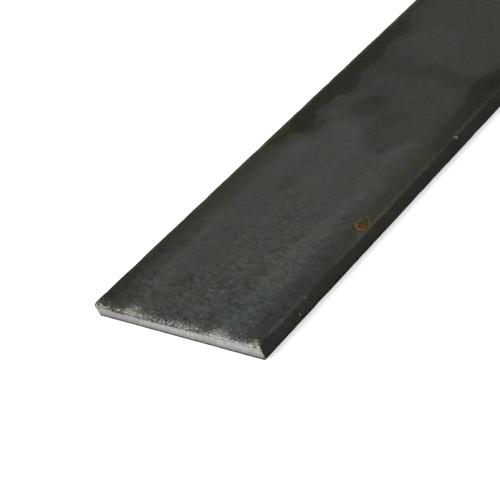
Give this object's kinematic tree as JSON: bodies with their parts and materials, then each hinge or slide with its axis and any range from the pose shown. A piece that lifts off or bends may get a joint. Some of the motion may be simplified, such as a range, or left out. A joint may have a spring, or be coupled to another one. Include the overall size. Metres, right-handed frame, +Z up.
{
  "type": "steel flat bar",
  "caption": "Hot-rolled steel flat bar, a long plain rectangular section with slightly rounded rolled arrises, crowned narrow edges and square-cut ends, for frames, brackets and welded work.",
  "frame": {"origin": "centre of the wide face that the bar lies on", "axes": "+X along the bar, away from the cut end that shows; +Y across its width; +Z up through its thickness"},
  "size_m": [1, 0.1, 0.006],
  "materials": {
    "mill_scale_steel": "dark grey mill scale with a low satin sheen, pale bare steel on the cut ends and one small rust spot near an edge"
  },
  "bodies": {
    "root": {"flat_bar": "mill_scale_steel"}
  },
  "joints": []
}
